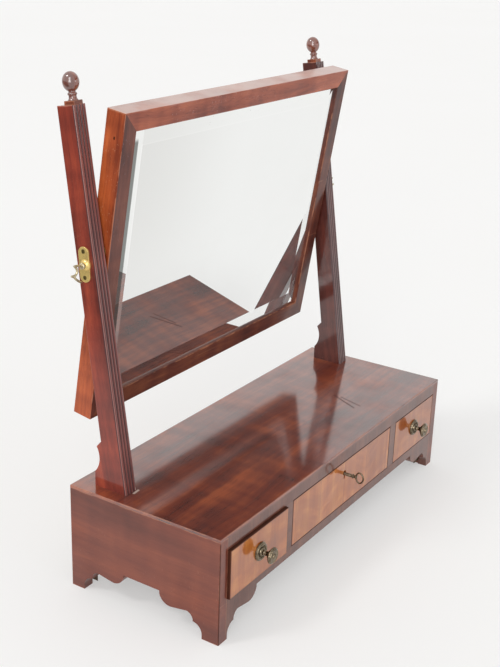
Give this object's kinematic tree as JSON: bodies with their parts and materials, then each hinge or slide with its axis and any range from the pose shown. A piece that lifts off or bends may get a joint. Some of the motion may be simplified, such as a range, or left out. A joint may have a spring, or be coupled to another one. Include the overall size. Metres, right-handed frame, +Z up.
{
  "type": "dressing table mirror",
  "caption": "Swing mirror for a dressing table: bevelled glass in a plain frame between raked, reeded uprights with finials, on a low box with small drawers and shaped bracket feet.",
  "frame": {"origin": "on the table surface under the middle of the box", "axes": "+X to the right as seen from the front, +Y to the back, +Z up; the drawers open towards -Y"},
  "size_m": [0.548, 0.2534, 0.5719],
  "materials": {
    "mahogany": "french polished, glossy",
    "crossband": "cross-grained veneer, polished",
    "flame_veneer": "figured veneer, polished",
    "oak": "bare, aged",
    "pine": "bare, aged",
    "looking_glass": "silvered, bevelled edge",
    "bright_brass": "lacquered, a little worn",
    "dark_brass": "dark patina",
    "dark_steel": "dull, brown with age"
  },
  "bodies": {
    "stand": {"base_top": "mahogany", "end_board_left": "mahogany", "end_board_right": "mahogany", "back_board": "pine", "bottom_board": "pine", "front_rail": "crossband", "front_apron": "crossband", "divider_left": "crossband", "divider_right": "crossband", "glue_blocks": "pine", "drawer_stops": "pine", "upright_left": "mahogany", "upright_right": "mahogany", "upright_screws": "dark_steel", "finial_plinth_left": "mahogany", "finial_plinth_right": "mahogany", "finial_left": "mahogany", "finial_right": "mahogany", "pivot_plate_left": "bright_brass", "pivot_plate_right": "bright_brass", "pivot_plate_screws": "bright_brass"},
    "mirror": {"frame_top_rail": "crossband", "frame_bottom_rail": "crossband", "frame_left_stile": "crossband", "frame_right_stile": "crossband", "nut_plate_left": "bright_brass", "nut_plate_right": "bright_brass", "nut_plate_screws": "bright_brass", "mirror_glass": "looking_glass", "glass_slips": "pine", "mirror_backboard": "pine", "backboard_nails": "dark_steel"},
    "thumb_left": {"thumbscrew_left": "bright_brass"},
    "thumb_right": {"thumbscrew_right": "bright_brass"},
    "drawer_left": {"drawer_left_front": "flame_veneer", "drawer_left_side_left": "oak", "drawer_left_side_right": "oak", "drawer_left_back": "oak", "drawer_left_bottom": "oak", "knob_left": "dark_brass", "knob_rose_left": "dark_brass", "knob_nut_left": "dark_brass"},
    "drawer_centre": {"drawer_centre_front": "flame_veneer", "drawer_centre_side_left": "oak", "drawer_centre_side_right": "oak", "drawer_centre_back": "oak", "drawer_centre_bottom": "oak", "lock_case": "bright_brass", "lock_screws": "bright_brass"},
    "drawer_right": {"drawer_right_front": "flame_veneer", "drawer_right_side_left": "oak", "drawer_right_side_right": "oak", "drawer_right_back": "oak", "drawer_right_bottom": "oak", "knob_right": "dark_brass", "knob_rose_right": "dark_brass", "knob_nut_right": "dark_brass"},
    "key": {"key": "dark_steel"},
    "lock_bolt": {"lock_bolt": "bright_brass"}
  },
  "joints": [
    {"name": "mirror_tilt", "type": "hinge", "parent": "stand", "child": "mirror", "pos_m": [0, 0.0848, 0.3793], "axis": [1, 0, 0], "continuous": true},
    {"name": "thumb_left_turn", "type": "hinge", "parent": "stand", "child": "thumb_left", "pos_m": [-0.249, 0.0848, 0.3793], "axis": [1, 0, 0], "continuous": true},
    {"name": "thumb_right_turn", "type": "hinge", "parent": "stand", "child": "thumb_right", "pos_m": [0.249, 0.0848, 0.3793], "axis": [1, 0, 0], "continuous": true},
    {"name": "drawer_left_slide", "type": "slide", "parent": "stand", "child": "drawer_left", "axis": [0, -1, 0], "range_m": [-0.0035, 0.13]},
    {"name": "drawer_centre_slide", "type": "slide", "parent": "stand", "child": "drawer_centre", "axis": [0, -1, 0], "range_m": [0, 0.13]},
    {"name": "drawer_right_slide", "type": "slide", "parent": "stand", "child": "drawer_right", "axis": [0, -1, 0], "range_m": [0, 0.13]},
    {"name": "key_turn", "type": "hinge", "parent": "drawer_centre", "child": "key", "pos_m": [0, -0.101, 0.0923], "axis": [0, -1, 0], "range_deg": [0, 180]},
    {"name": "lock_bolt_rise", "type": "slide", "parent": "drawer_centre", "child": "lock_bolt", "axis": [0, 0, 1], "range_m": [0, 0.0043]}
  ],
  "couplings": [
    {"joint": "key_turn", "follows": "lock_bolt_rise", "rad_per_m": 730.5}
  ]
}
